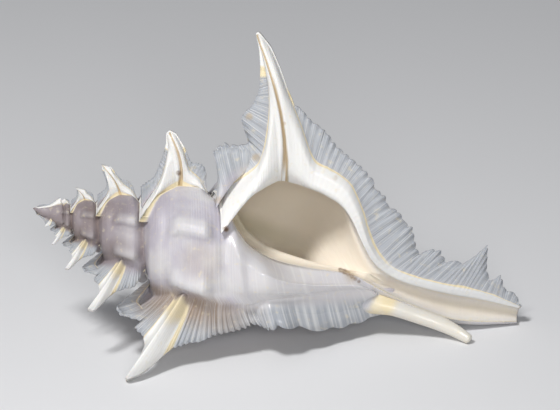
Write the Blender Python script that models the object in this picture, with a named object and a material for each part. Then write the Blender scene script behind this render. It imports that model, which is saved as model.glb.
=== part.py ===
"""A murex shell, grown in one piece: a coil of whorls with three finned and spined varices to each turn, a hollow
aperture, a long open siphonal canal, and the stub of an older canal beside it.

The shell is drawn around its own axis, X from the apex to the tip of the canal, and is then laid on its spines.
A place on the outside has two coordinates: the growth angle, in degrees back from the lip, and the row, which is 0 at
the upper suture, 1 at the lower suture, 2 on the upper part of the canal and 3 at its tip.
"""

from bisect import bisect_right
from math import cos, radians, sin

import bmesh
import bpy
from mathutils import Matrix, Vector

MM = 0.001

# How the coil grows
WHORL_RATIO = 1.67
TURNS = 4
LIP_AZIMUTH = -15.0
VARIX_ANGLES = (0.0, 112.5, 225.0)
TURN = 360.0

# The sections below hold (row, distance along the axis, distance from the axis) in millimetres, at the lip
WALL = (
    (0.0, 51.5, 18.0), (0.15, 55.6, 21.5), (0.3, 60.0, 24.6), (0.45, 66.0, 27.8), (0.55, 70.0, 29.3),
    (0.75, 77.0, 30.5), (0.9, 82.3, 30.7), (1.0, 86.0, 30.06), (1.1, 89.5, 28.0), (1.2, 92.6, 25.0),
    (1.3, 95.3, 21.3), (1.4, 98.0, 17.0), (1.5, 101.0, 12.8), (1.6, 104.5, 9.6), (1.7, 108.5, 7.6),
    (1.8, 112.0, 6.4), (2.0, 118.0, 5.6), (2.3, 127.0, 5.2), (2.6, 137.5, 4.6), (3.0, 149.8, 3.0),
)
FIN_EDGE = (
    (0.0, 51.5, 18.0), (0.05, 54.6, 19.8), (0.1, 51.8, 24.6), (0.16, 49.2, 29.7), (0.23, 52.0, 32.8),
    (0.31, 57.5, 33.4), (0.35, 59.3, 35.0), (0.4, 55.4, 41.0), (0.45, 57.6, 46.0), (0.49, 58.4, 53.0),
    (0.53, 55.9, 63.8), (0.55, 54.0, 68.3), (0.58, 59.5, 64.6), (0.63, 67.0, 53.3), (0.69, 71.2, 48.5),
    (0.8, 79.0, 44.0), (0.9, 84.5, 40.0), (1.0, 89.0, 37.5), (1.1, 94.5, 34.6), (1.2, 98.6, 31.0),
    (1.3, 102.5, 28.0), (1.4, 107.5, 24.4), (1.5, 110.0, 21.4), (1.6, 112.6, 20.4), (1.7, 115.0, 14.8),
    (1.77, 116.4, 12.8), (1.85, 119.0, 15.0), (1.93, 122.3, 15.6), (2.0, 125.0, 12.2), (2.1, 127.0, 13.4),
    (2.2, 130.0, 13.0), (2.3, 133.0, 16.3), (2.4, 135.9, 20.6), (2.5, 137.3, 12.6), (2.6, 139.2, 9.6),
    (2.7, 141.8, 12.2), (2.8, 144.0, 8.2), (2.9, 147.6, 7.4), (3.0, 150.2, 4.0),
)
CORD_EDGE = (
    (0.0, 51.5, 18.0), (0.05, 54.9, 19.0), (0.1, 55.6, 20.8), (0.16, 57.4, 22.8), (0.23, 60.2, 25.3),
    (0.31, 63.2, 29.0), (0.35, 63.9, 32.0), (0.4, 64.2, 37.0), (0.45, 63.3, 45.0), (0.49, 61.4, 52.5),
    (0.53, 56.9, 63.2), (0.55, 54.3, 68.0), (0.58, 59.4, 64.2), (0.63, 67.0, 52.8), (0.69, 72.6, 44.5),
    (0.8, 80.0, 34.2), (0.9, 84.0, 32.4), (1.0, 87.0, 31.3), (1.1, 91.5, 29.1), (1.2, 94.6, 25.2),
    (1.3, 97.2, 21.2), (1.4, 99.8, 16.2), (1.5, 102.6, 12.0), (1.6, 105.5, 9.0), (1.7, 108.7, 7.0),
    (1.85, 113.7, 5.8), (2.0, 118.5, 5.4), (2.3, 128.0, 5.3), (2.6, 138.0, 5.7), (3.0, 149.9, 3.9),
)
# The same two lines on the older lips, whose spines are shorter
OLD_FIN_EDGE = (
    (0.0, 51.5, 18.0), (0.05, 54.2, 19.6), (0.1, 50.6, 23.5), (0.16, 53.2, 26.6), (0.23, 56.2, 29.6),
    (0.31, 57.2, 34.5), (0.4, 58.2, 42.0), (0.49, 58.6, 48.2), (0.53, 57.6, 53.0), (0.55, 58.8, 55.0),
    (0.58, 62.6, 54.0), (0.63, 68.2, 48.2), (0.69, 71.2, 43.6), (0.74, 73.0, 41.4), (0.8, 77.8, 42.0),
    (0.87, 81.6, 39.6), (0.92, 82.3, 35.8), (1.0, 86.0, 30.06), (3.0, 149.8, 3.0),
)
OLD_CORD_EDGE = (
    (0.0, 51.5, 18.0), (0.05, 54.6, 19.2), (0.1, 54.8, 21.4), (0.16, 57.0, 24.0), (0.23, 59.2, 27.6),
    (0.31, 60.4, 33.0), (0.4, 60.6, 40.6), (0.49, 60.0, 47.6), (0.53, 58.4, 52.6), (0.55, 59.2, 54.4),
    (0.58, 62.4, 53.2), (0.63, 67.4, 47.4), (0.69, 70.2, 42.2), (0.74, 72.6, 38.2), (0.8, 76.0, 35.8),
    (0.87, 79.6, 33.8), (0.92, 81.8, 32.4), (1.0, 86.0, 30.06), (3.0, 149.8, 3.0),
)
RIM = (
    (0.0, 51.5, 18.0), (0.06, 55.5, 20.5), (0.12, 58.0, 21.5), (0.2, 60.5, 22.0), (0.3, 63.5, 23.3),
    (0.4, 67.0, 24.7), (0.5, 70.3, 26.0), (0.55, 72.0, 26.3), (0.65, 76.0, 26.3), (0.75, 79.0, 25.9),
    (0.9, 83.0, 25.3), (1.0, 85.5, 24.6), (1.1, 89.0, 23.4), (1.2, 92.0, 21.4), (1.3, 94.5, 18.8),
    (1.4, 97.0, 15.6), (1.5, 99.8, 11.8), (1.6, 102.8, 8.0), (1.7, 106.5, 5.4), (1.85, 112.0, 3.6),
    (2.0, 117.0, 3.0), (2.3, 127.0, 2.8), (2.6, 137.0, 3.3), (3.0, 149.4, 3.4),
)
# The hollow: its side under the wall, then its side along the columella
HOLLOW_OUTER = (
    (0.0, 57.5, 20.6), (0.1, 59.0, 22.0), (0.25, 62.0, 23.9), (0.45, 67.0, 26.0), (0.55, 70.0, 27.1),
    (0.75, 77.0, 28.3), (0.9, 82.0, 28.2), (1.0, 85.0, 27.4), (1.1, 88.0, 25.6), (1.2, 91.0, 22.7),
    (1.3, 93.7, 18.9), (1.4, 96.3, 14.8), (1.5, 99.0, 10.8), (1.6, 101.5, 7.4), (1.7, 103.5, 5.0),
    (1.77, 105.0, 3.4),
)
HOLLOW_INNER = (
    (1.0, 57.5, 20.6), (1.1, 57.8, 17.6), (1.2, 59.5, 14.8), (1.3, 62.0, 11.3), (1.4, 66.0, 7.6),
    (1.5, 73.0, 4.6), (1.6, 85.0, 3.2), (1.7, 97.0, 3.0), (1.77, 105.0, 3.4),
)
# The inner lip: the edge of the hollow on the columella, which goes on as the far edge of the canal's groove
INNER_LIP = (
    (1.0, 51.4, 17.4, 4.7), (1.1, 55.5, 14.0, 8.0), (1.2, 58.5, 10.5, 10.5), (1.3, 61.5, 7.0, 11.5),
    (1.4, 66.0, 3.4, 11.0), (1.5, 74.0, 0.9, 9.0), (1.6, 85.0, 0.9, 7.5), (1.7, 97.0, 2.0, 6.0),
    (1.77, 102.5, 0.8, 4.8), (1.85, 108.5, -1.0, 3.8), (2.0, 117.0, -3.0, 2.9), (2.3, 128.5, -4.5, 1.9),
    (2.6, 138.0, -3.6, 1.4), (3.0, 149.9, -1.0, 0.8),
)
INNER_LIP_REACH = 110.0
# How much the base swells towards the eye where the canals leave it
BASE_FULLNESS = 6.0
# The middle of the canal as (row, height towards the lip's side, depth), and the floor of its groove the same way
CANAL_LINE = (
    (1.4, 0.0, 0.0), (1.8, 1.4, -0.5), (2.0, 2.1, -1.0), (2.3, 0.2, -1.0), (2.45, -0.6, -1.0), (2.6, 0.1, -1.0),
    (2.8, 1.1, -1.0), (3.0, 1.8, -1.0),
)
GROOVE_FLOOR = (
    (1.7, 1.6, -4.0), (1.85, 1.0, -3.0), (2.0, 0.6, -2.8), (2.3, -0.6, -2.6), (2.6, 0.2, -2.2), (3.0, 1.6, -1.4),
)
CANAL_RADIUS = 5.2
CANAL_TURN = 240.0
CANAL_STARTS, CANAL_WHOLE = 1.42, 1.8
# The canal curves away from the eye: where along the axis that begins, where it is measured, and how far it is there
CURVE_FROM, CURVE_AT, CURVED_BACK = 95.0, 150.0, 9.0

# Where a varix leaves the suture it runs ahead of the rest along the growth of the whorl: (row, degrees)
SWEEP = (
    (0.0, 0.0), (0.05, 32.0), (0.1, 54.0), (0.16, 42.0), (0.23, 29.0), (0.31, 17.0), (0.4, 8.0), (0.5, 0.0),
    (3.0, 0.0),
)
SWEEP_BEHIND = 60.0

# The fins and spines of a varix
FIN_HALF_THICKNESS = 0.42
SPINE_ROW, SPINE_WIDTH = 0.55, 0.075
SPINE_THICKNESS, SPINE_TAPER = 3.8, 0.6
STOUT_THICKNESS, STOUT_TAPER = 5.0, 0.7
# The older spines are worn. An older lip's spine on each turn: how far from the axis it reaches, and how far it leans
WORN_LIPS = ((68.4, 0.0), (55.0, 0.0), (50.0, 9.0), (43.0, 5.0), (40.0, 0.0))
WORN_TIP = 67.6
# How much further the fin of a side varix goes where it leaves the suture
SIDE_LOBE = (-6.0, 7.0)
CORD_THICKNESS = 3.4
GROOVE_WIDTH = 0.012
KEEL = (
    (1.2, 4.5, 4.8), (1.4, 6.0, 9.5), (1.5, 6.5, 10.0), (1.6, 5.5, 10.4), (1.7, 4.0, 8.0), (1.77, 2.5, 4.0),
    (1.85, 0.0, 0.8),
)

# The places across the gap between two varices, from the younger one: the columns, and the low bumps among them. The
# bumps are highest next to an older lip.
GAP_COLUMNS = (0.83, 0.67, 0.53, 0.36, 0.2)
BUMPS, BUMP_HEIGHT = (0.53, 0.2), 4.2
BUMP_STEEP_SIDE, BUMP_GENTLE_SIDE = 0.06, 0.16
BUMP_ROWS = (0.34, 1.0)
LOWER_BUMPS = 0.7

# The older canal: a stub that leaves the base beside the newer one, as (x, y, z, radius)
STUB = (
    (92.0, -2.7, -5.9, 5.2), (98.0, -3.4, -4.2, 5.2), (103.5, -4.3, -1.8, 4.4), (108.0, -4.9, 0.2, 3.3),
    (113.0, -5.1, 1.6, 2.5), (120.0, -5.8, 2.2, 2.3), (127.0, -6.6, 3.6, 2.2), (132.0, -7.7, 5.8, 1.9),
    (136.2, -9.1, 8.8, 1.45),
)
STUB_SIDES = 10

# The shell lies on the tips of its two older spines and of its canal
FEET = ((43.1, -41.8, 20.6), (46.0, -9.2, -57.4), (149.9, -1.5, -10.7))

# The first turn closes over the apex, which is here, from this row up
APEX, APEX_ROW = (0.3, 0.0, 0.0), 0.4

# How finely the surface is divided
RISE_COLUMNS = 3
CORD_COLUMNS = 2
HOLLOW_STEPS = (10, 30, 55, 85, 115, 150, 185, 220, 255, 290, 330, 370)
THROAT_STEPS = 3


def curve(keys, row):
    """The point at a row on a smooth curve through the keys."""
    rows = [key[0] for key in keys]
    i = min(max(bisect_right(rows, row) - 1, 0), len(keys) - 2)
    before, start, end, after = (keys[min(max(i + k, 0), len(keys) - 1)] for k in (-1, 0, 1, 2))
    span = end[0] - start[0]
    u = min(max((row - start[0]) / span, 0.0), 1.0)
    point = []
    for c in range(1, len(start)):
        leaving = (end[c] - before[c]) / (end[0] - before[0]) * span
        arriving = (after[c] - start[c]) / (after[0] - start[0]) * span
        point.append(
            (2 * u**3 - 3 * u**2 + 1) * start[c] + (u**3 - 2 * u**2 + u) * leaving
            + (3 * u**2 - 2 * u**3) * end[c] + (u**3 - u**2) * arriving
        )
    return Vector(point)


def outline(keys, row):
    """The point at a row on straight lines through the keys, for a ragged edge."""
    rows = [key[0] for key in keys]
    i = min(max(bisect_right(rows, row) - 1, 0), len(keys) - 2)
    start, end = keys[i], keys[i + 1]
    share = min(max((row - start[0]) / (end[0] - start[0]), 0.0), 1.0)
    return [a + (b - a) * share for a, b in zip(start[1:], end[1:])]


def ramp(low, high, value):
    """0 below low, 1 above high, and smooth between."""
    u = min(max((value - low) / (high - low), 0.0), 1.0)
    return u * u * (3 - 2 * u)


def size(angle):
    return WHORL_RATIO ** (-angle / TURN)


def canal_share(row):
    return ramp(CANAL_STARTS, CANAL_WHOLE, row)


def place(section, angle, row):
    """A point of a meridional section, turned to its growth angle. On the canal the turns bend into one tube."""
    share = canal_share(row)
    azimuth = radians(LIP_AZIMUTH + angle * (1 - share + share * CANAL_TURN / TURN))
    up, rise = curve(CANAL_LINE, row) * ramp(0.0, 120.0, angle)
    return Vector((section.x, section.y * cos(azimuth) + up, rise - section.y * sin(azimuth)))


def gap(angle):
    """The varices that bound a growth angle: the younger, and the older."""
    whole = angle // TURN * TURN
    turned = angle - whole
    younger = max(at for at in VARIX_ANGLES if at <= turned)
    older = min([at for at in VARIX_ANGLES if at > turned] + [TURN])
    return whole + younger, whole + older


def sweep(angle, row):
    """Degrees by which growth runs ahead. It is greatest at a varix, and dies away before the next one."""
    degrees = outline(SWEEP, row)[0]
    younger, older = gap(angle)
    before = 1 - ramp(0.0, SWEEP_BEHIND, angle - younger)
    after = (angle - younger) / (older - younger)
    return degrees * max(before, after)


def wall_section(angle, row):
    """The outside of the whorl, with no varix, in its meridional plane."""
    section = curve(WALL, row)
    grown = section * size(angle)
    share = canal_share(row)
    if share > 0:
        narrow = min(section.y, CANAL_RADIUS) if row < CANAL_WHOLE else section.y
        grown = Vector((
            (1 - share) * grown.x + share * section.x,
            (1 - share) * grown.y + share * narrow,
        ))
    return grown


def bump(angle, row):
    """Height of the low bumps between the varices, each with a steep side towards the younger one."""
    younger, older = gap(angle)
    across = (angle - younger) / (older - younger)
    low, high = BUMP_ROWS
    along = ramp(low, low + 0.16, row) * (1 - ramp(high - 0.18, high, row))
    over = [(across - at) / (BUMP_STEEP_SIDE if across < at else BUMP_GENTLE_SIDE) for at in BUMPS]
    along *= 1.0 if older % TURN == 0 else LOWER_BUMPS
    return BUMP_HEIGHT * size(angle) * along * max(1 - ramp(0.0, 1.0, abs(side)) for side in over)


def wall(angle, row):
    ahead = angle - sweep(angle, row)
    section = wall_section(ahead, row)
    section.y += bump(angle, row)
    return place(section, ahead, row)


def fin_share(angle, row):
    """How much of its full fin an older varix keeps at a row."""
    if angle == 0:
        return 1.0
    return 1 - ramp(0.82, 1.0, row) if angle >= TURN else 1.0


def varix_section(angle, row, edges):
    """A line of a varix, such as its edge, in its meridional plane."""
    base = wall_section(angle, row)
    if angle == 0:
        return edges(angle, row)
    grown = edges(angle, row) * size(angle)
    reach = grown - wall_section(angle, min(row, CANAL_STARTS))
    if row > 1.2:
        keel = Vector(curve(KEEL, row)) if row < KEEL[-1][0] else Vector((0.0, 0.0))
        reach = reach.lerp(keel, ramp(1.2, 1.4, row)) if row < 1.4 else keel
        if edges is cord_edge:
            reach *= 0.3
    return base + reach * fin_share(angle, row)


def worn(angle, row, edge):
    """A point of a varix's edge, with the lobe of the side varices and after the wear on its spine."""
    if angle % TURN == VARIX_ANGLES[-1]:
        edge = edge + Vector(SIDE_LOBE) * ramp(0.05, 0.16, row) * (1 - ramp(0.28, 0.5, row))
    if angle < TURN:
        return edge
    if angle % TURN:
        blunt = 3.2 * (1 - ramp(0.0, 0.07, abs(row - SPINE_ROW)))
        return Vector((edge.x, min(edge.y + blunt, max(edge.y, WORN_TIP))))
    reach, lean = WORN_LIPS[int(angle // TURN)]
    return Vector((edge.x - lean * ramp(32.0, 50.0, edge.y), min(edge.y, reach)))


def fin_edge(angle, row):
    older_lip = angle and angle % TURN == 0
    return worn(angle, row, Vector(outline(OLD_FIN_EDGE if older_lip else FIN_EDGE, row)))


def cord_edge(angle, row):
    older_lip = angle and angle % TURN == 0
    return worn(angle, row, curve(OLD_CORD_EDGE if older_lip else CORD_EDGE, row))


def shifted(section, angle, row, ahead, height):
    """A section point turned to its angle, moved ahead along the growth by a length. The sweep fades with height."""
    turned = angle - outline(SWEEP, row)[0] * (1 - height)
    radius = max(section.y, 4.0 * size(angle))
    return place(section, turned - ahead / radius * 57.3, row)


def spine_bulk(angle, row, height):
    """Thickness of a spine behind its fin. The spines between two lips are the stouter ones."""
    thickness, taper = (STOUT_THICKNESS, STOUT_TAPER) if angle % TURN else (SPINE_THICKNESS, SPINE_TAPER)
    return thickness * (1 - taper * height) * (1 - ramp(0.0, 1.0, abs(row - SPINE_ROW) / SPINE_WIDTH))


def varix_columns():
    """The columns of one varix, from the rise at its back over its edge to the foot of its front.

    Each is a function of the varix's angle and a row.
    """
    def rise(share):
        def point(angle, row):
            height = share**2.2
            base = wall_section(angle, row)
            edge = varix_section(angle, row, fin_edge)
            section = base.lerp(edge, height)
            grown = size(angle)
            bulk = spine_bulk(angle, row, height) * ramp(0.0, 0.3, share)
            back = FIN_HALF_THICKNESS * ramp(0.0, 0.08, row) + bulk
            start = 16.0 * (1 - share) ** 1.3
            return shifted(section, angle + start, row, -back * grown, height)
        return point

    def fin_front(share):
        def point(angle, row):
            edge = varix_section(angle, row, fin_edge)
            cord = varix_section(angle, row, cord_edge)
            height = 1 - share * 0.2
            return shifted(edge.lerp(cord, share), angle, row, FIN_HALF_THICKNESS * size(angle), height)
        return point

    def cord(share):
        def point(angle, row):
            top = varix_section(angle, row, cord_edge)
            foot = curve(RIM, row) if angle == 0 else wall_section(angle, row)
            section = top.lerp(foot, share)
            groove = 1 - ramp(0.0, 1.0, abs(row - SPINE_ROW) / GROOVE_WIDTH)
            proud = CORD_THICKNESS * sin(radians(40 + 120 * share)) * ramp(0.0, 0.12, row) * (1 - 0.8 * groove)
            if row > CANAL_STARTS:
                proud *= 1 - 0.75 * canal_share(row)
            ahead = (FIN_HALF_THICKNESS + proud) * size(angle)
            return shifted(section, angle - 1.5, row, ahead, 0.8 * (1 - share) ** 1.3)
        return point

    columns = [rise(k / RISE_COLUMNS) for k in range(RISE_COLUMNS + 1)]
    columns += [fin_front(0.0)]
    columns += [cord(k / CORD_COLUMNS) for k in range(CORD_COLUMNS + 1)]
    return columns


def shell_columns():
    """Every column from the apex to the lip, as functions of a row, and how many of them make one turn."""
    columns = []
    pleat = varix_columns()
    for turn in range(TURNS, -1, -1):
        for at in reversed(VARIX_ANGLES):
            angle = at + turn * TURN
            columns += [lambda row, f=f, angle=angle: f(angle, row) for f in pleat]
            after = [v for v in VARIX_ANGLES if v < at]
            following = (max(after) if after else VARIX_ANGLES[-1] - TURN) + turn * TURN
            if angle == 0:
                break
            for share in GAP_COLUMNS:
                between = following + (angle - following) * share
                columns.append(lambda row, between=between: wall(between, row))
    per_turn = 3 * (len(pleat) + len(GAP_COLUMNS))
    return columns, per_turn


def over_apex(point, row):
    """A point of the first turn, drawn in to the apex at the top."""
    share = min(row / APEX_ROW, 1.0)
    apex = Vector(APEX)
    return Vector((apex.x + (point.x - apex.x) * share, point.y * share**0.6, point.z * share**0.6))


def curved_back(point):
    along = max(point.x - CURVE_FROM, 0.0) / (CURVE_AT - CURVE_FROM)
    return point - Vector((0.0, 0.0, CURVED_BACK * along**1.6))


def bent_grid(across, along, point):
    """A grid bent so that each crossing lies at point(i, j)."""
    mesh = bmesh.new()
    bmesh.ops.create_grid(mesh, x_segments=across, y_segments=along, size=1.0)
    for vertex in mesh.verts:
        i = round((vertex.co.x + 1) / 2 * across)
        j = round((vertex.co.y + 1) / 2 * along)
        vertex.co = curved_back(point(i, j)) * MM
    return mesh


def joined(meshes, weld):
    """The meshes in one, their shared borders welded, with the faces turned outwards."""
    whole = bmesh.new()
    for mesh in meshes:
        part = bpy.data.meshes.new("part")
        mesh.to_mesh(part)
        mesh.free()
        whole.from_mesh(part)
        bpy.data.meshes.remove(part)
    bmesh.ops.remove_doubles(whole, verts=whole.verts, dist=weld)
    bmesh.ops.dissolve_degenerate(whole, dist=weld, edges=whole.edges)
    bmesh.ops.holes_fill(whole, edges=[e for e in whole.edges if e.is_boundary], sides=0)
    bmesh.ops.triangulate(whole, faces=whole.faces)
    bmesh.ops.recalc_face_normals(whole, faces=whole.faces)
    return whole


def shell_mesh():
    rows = [key[0] for key in FIN_EDGE]
    lower = rows.index(1.0)
    canal = rows.index(HOLLOW_OUTER[-1][0])
    columns, per_turn = shell_columns()
    last = len(columns) - 1
    first_base = last - per_turn

    points = {}

    def outside(i, j):
        if (i, j) not in points:
            points[i, j] = columns[i](rows[j])
        return points[i, j]

    def upper(i, j):
        # The upper suture of a whorl is the lower suture of the whorl before it, and the first turn has the apex there
        if i >= per_turn:
            return outside(i - per_turn, lower) if j == 0 else outside(i, j)
        return over_apex(outside(i, j), rows[j])

    def base(i, j):
        """The base of the last whorl and the canal. Next to the hollow it bends over to the inner lip."""
        point = outside(first_base + i, lower + j).copy()
        row, turned = rows[lower + j], i / per_turn
        near = (1 - ramp(0.0, INNER_LIP_REACH, turned * TURN)) * ramp(1.0, 1.15 + turned, row)
        full = ramp(0.0, 0.1, turned) * (1 - ramp(0.36, 0.5, turned))
        full *= ramp(1.3, 1.5, row) * (1 - ramp(1.72, 1.88, row))
        point += (curve(INNER_LIP, row) - outside(first_base, lower + j)) * near
        return point + Vector((0.0, 0.0, BASE_FULLNESS * full))

    loop = [("outer", j) for j in range(canal, -1, -1)] + [("inner", j) for j in range(lower + 1, canal + 1)]

    def border(side, j):
        return upper(last, j) if side == "outer" else base(0, j - lower)

    def floor_of_groove(row):
        up, rise = curve(GROOVE_FLOOR, row)
        return Vector((curve(RIM, row).x, up, rise))

    def hollow(side, j, angle):
        keys = HOLLOW_OUTER if side == "outer" else HOLLOW_INNER
        section = curve(keys, rows[j]) * size(angle)
        azimuth = radians(LIP_AZIMUTH + angle)
        return Vector((section.x, section.y * cos(azimuth), -section.y * sin(azimuth)))

    def dip(start, end, share):
        """From a border down into the hollow: first straight in, then across."""
        turn = radians(90 * share)
        across, down = 1 - cos(turn), sin(turn)
        return Vector((
            start.x + (end.x - start.x) * across,
            start.y + (end.y - start.y) * across,
            start.z + (end.z - start.z) * down,
        ))

    throat = HOLLOW_STEPS[0]

    def inside(m, k):
        side, j = loop[m]
        if k > THROAT_STEPS:
            return hollow(side, j, HOLLOW_STEPS[k - THROAT_STEPS])
        end = floor_of_groove(rows[j]) if j == canal else hollow(side, j, throat)
        return dip(border(side, j), end, k / THROAT_STEPS)

    def groove(k, j):
        row = rows[canal + j]
        side = "outer" if k <= THROAT_STEPS else "inner"
        share = 1 - abs(k - THROAT_STEPS) / THROAT_STEPS
        return dip(border(side, canal + j), floor_of_groove(row), share)

    apex = bent_grid(last, lower, upper)
    foot = bent_grid(per_turn, len(rows) - 1 - lower, base)
    cavity = bent_grid(len(loop) - 1, THROAT_STEPS + len(HOLLOW_STEPS) - 1, inside)
    channel = bent_grid(2 * THROAT_STEPS, len(rows) - 1 - canal, groove)
    return joined([apex, foot, cavity, channel], weld=2e-6)


def stub_mesh():
    """The older canal, a tapered and slightly bent tube, closed at its worn tip."""
    def around(i, j):
        x, y, z, radius = STUB[j]
        turn = radians(TURN * i / STUB_SIDES)
        return Vector((x + 0.25 * radius * cos(turn), y + radius * cos(turn), z + radius * sin(turn)))

    return joined([bent_grid(STUB_SIDES, len(STUB) - 1, around)], weld=2e-6)


def lying(mesh):
    """Turns the shell so that its feet are level, and puts the middle of its underside at the origin."""
    near, far, canal = (Vector(foot) for foot in FEET)
    up = (canal - near).cross(far - near).normalized()
    along = (Vector((1.0, 0.0, 0.0)) - up * up.x).normalized()
    turn = Matrix((along, up.cross(along), up)).to_4x4()
    bmesh.ops.transform(mesh, matrix=turn, verts=mesh.verts)
    low = Vector([min(v.co[k] for v in mesh.verts) for k in range(3)])
    high = Vector([max(v.co[k] for v in mesh.verts) for k in range(3)])
    middle = Vector(((low.x + high.x) / 2, (low.y + high.y) / 2, low.z))
    bmesh.ops.translate(mesh, vec=-middle, verts=mesh.verts)


def added(name, mesh, hidden=False):
    data = bpy.data.meshes.new(name)
    mesh.to_mesh(data)
    mesh.free()
    thing = bpy.data.objects.new(name, data)
    bpy.context.scene.collection.objects.link(thing)
    thing.hide_render = hidden
    return thing


def shell_material():
    material = bpy.data.materials.new("shell")
    material.use_nodes = True
    shader = material.node_tree.nodes["Principled BSDF"]
    shader.inputs["Base Color"].default_value = (0.78, 0.75, 0.72, 1.0)
    shader.inputs["Roughness"].default_value = 0.42
    shader.inputs["Metallic"].default_value = 0.0
    return material


def main():
    for thing in list(bpy.data.objects):
        bpy.data.objects.remove(thing)
    shell = added("shell", shell_mesh())
    join = shell.modifiers.new("older_canal", "BOOLEAN")
    join.operation = "UNION"
    join.solver = "MANIFOLD"
    join.object = added("older_canal", stub_mesh(), hidden=True)
    whole = bmesh.new()
    whole.from_object(shell, bpy.context.evaluated_depsgraph_get())
    shell.modifiers.remove(join)
    bmesh.ops.triangulate(whole, faces=whole.faces)
    lying(whole)
    whole.to_mesh(shell.data)
    whole.free()
    shell.data.materials.append(shell_material())


main()
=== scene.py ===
"""The murex shell as it is in the photograph: glossy white porcelain with lilac-grey whorls, cream stains along
its varices, ribbed fins, and a beige hollow, lying on two spines and the tip of its canal.

The shell is drawn around its own axis, X from the apex to the tip of the canal, Y towards the lip and Z
towards the eye, and is then laid down. A place on the outside has two coordinates: the growth angle, in degrees
back from the lip, and the row, which is 0 at the upper suture, 1 at the lower suture, 2 on the canal and 3 at
its tip.
"""

import random
from bisect import bisect_right
from math import cos, exp, hypot, pi, radians, sin

import bmesh
import bpy
from mathutils import Matrix, Vector


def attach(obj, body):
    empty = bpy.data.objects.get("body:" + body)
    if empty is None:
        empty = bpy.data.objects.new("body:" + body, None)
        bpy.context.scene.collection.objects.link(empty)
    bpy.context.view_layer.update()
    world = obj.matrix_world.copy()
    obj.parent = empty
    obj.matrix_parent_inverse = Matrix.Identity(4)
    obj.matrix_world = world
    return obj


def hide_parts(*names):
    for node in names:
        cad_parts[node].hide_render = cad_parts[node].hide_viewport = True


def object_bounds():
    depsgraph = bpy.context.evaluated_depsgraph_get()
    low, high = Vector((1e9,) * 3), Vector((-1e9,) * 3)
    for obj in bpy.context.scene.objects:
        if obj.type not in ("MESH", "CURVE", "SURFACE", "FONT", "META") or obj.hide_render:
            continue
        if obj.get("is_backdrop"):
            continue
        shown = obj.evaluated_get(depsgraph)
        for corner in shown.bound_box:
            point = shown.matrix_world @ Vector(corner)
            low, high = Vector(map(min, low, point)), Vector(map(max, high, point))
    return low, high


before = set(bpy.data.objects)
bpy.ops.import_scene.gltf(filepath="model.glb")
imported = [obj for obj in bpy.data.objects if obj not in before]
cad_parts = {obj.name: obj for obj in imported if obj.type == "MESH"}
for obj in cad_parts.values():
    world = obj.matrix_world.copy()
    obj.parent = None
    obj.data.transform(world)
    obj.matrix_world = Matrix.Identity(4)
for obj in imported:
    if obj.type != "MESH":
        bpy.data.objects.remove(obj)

MM = 0.001
# Millimetres in a centimetre, and degrees in a radian
CM, RADIAN = 10.0, 57.3

# How the coil grows
WHORL_RATIO = 1.67
TURNS = 4
LIP_AZIMUTH = -15.0
VARIX_ANGLES = (0.0, 112.5, 225.0)
TURN = 360.0

# The sections below hold (row, distance along the axis, distance from the axis) in millimetres, at the lip
WALL = (
    (0.0, 51.5, 18.0), (0.15, 55.6, 21.5), (0.3, 60.0, 24.6), (0.45, 66.0, 27.8), (0.55, 70.0, 29.3),
    (0.75, 77.0, 30.5), (0.9, 82.3, 30.7), (1.0, 86.0, 30.06), (1.1, 89.5, 28.0), (1.2, 92.6, 25.0),
    (1.3, 95.3, 21.3), (1.4, 98.0, 17.0), (1.5, 101.0, 12.8), (1.6, 104.5, 9.6), (1.7, 108.5, 7.6),
    (1.8, 112.0, 6.4), (2.0, 118.0, 5.6), (2.3, 127.0, 5.2), (2.6, 137.5, 4.6), (3.0, 149.8, 3.0),
)
FIN_EDGE = (
    (0.0, 51.5, 18.0), (0.05, 54.6, 19.8), (0.1, 51.8, 24.6), (0.16, 49.2, 29.7), (0.2, 51.0, 32.2),
    (0.23, 52.0, 33.0), (0.27, 54.6, 32.9), (0.31, 57.5, 33.6), (0.35, 59.3, 35.0), (0.38, 56.8, 38.6),
    (0.4, 55.4, 41.0), (0.42, 55.4, 43.0), (0.45, 57.6, 46.0), (0.49, 58.6, 51.0), (0.51, 57.6, 58.0),
    (0.53, 55.9, 63.8), (0.545, 54.0, 67.6), (0.555, 54.8, 68.4), (0.58, 59.5, 64.6), (0.6, 63.4, 59.2),
    (0.63, 67.0, 53.3), (0.65, 69.9, 49.3), (0.69, 72.4, 48.2), (0.75, 76.0, 45.4), (0.8, 79.4, 44.2),
    (0.84, 82.0, 42.4), (0.9, 85.0, 39.6), (1.0, 89.0, 37.5), (1.1, 94.5, 34.6), (1.2, 98.6, 31.4),
    (1.24, 98.3, 30.0), (1.3, 102.5, 28.0), (1.35, 104.0, 25.2), (1.4, 107.5, 24.4), (1.5, 110.0, 21.4),
    (1.6, 112.6, 20.4), (1.7, 115.0, 14.8), (1.77, 116.4, 12.8), (1.85, 119.0, 15.0), (1.93, 122.3, 15.6),
    (2.0, 125.0, 12.2), (2.1, 127.0, 13.4), (2.2, 130.0, 13.0), (2.3, 133.0, 16.3), (2.4, 135.9, 20.6),
    (2.5, 137.3, 12.6), (2.6, 139.2, 9.6), (2.7, 141.8, 12.2), (2.8, 144.0, 8.2), (2.9, 147.6, 7.4),
    (3.0, 150.2, 4.0),
)
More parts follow.
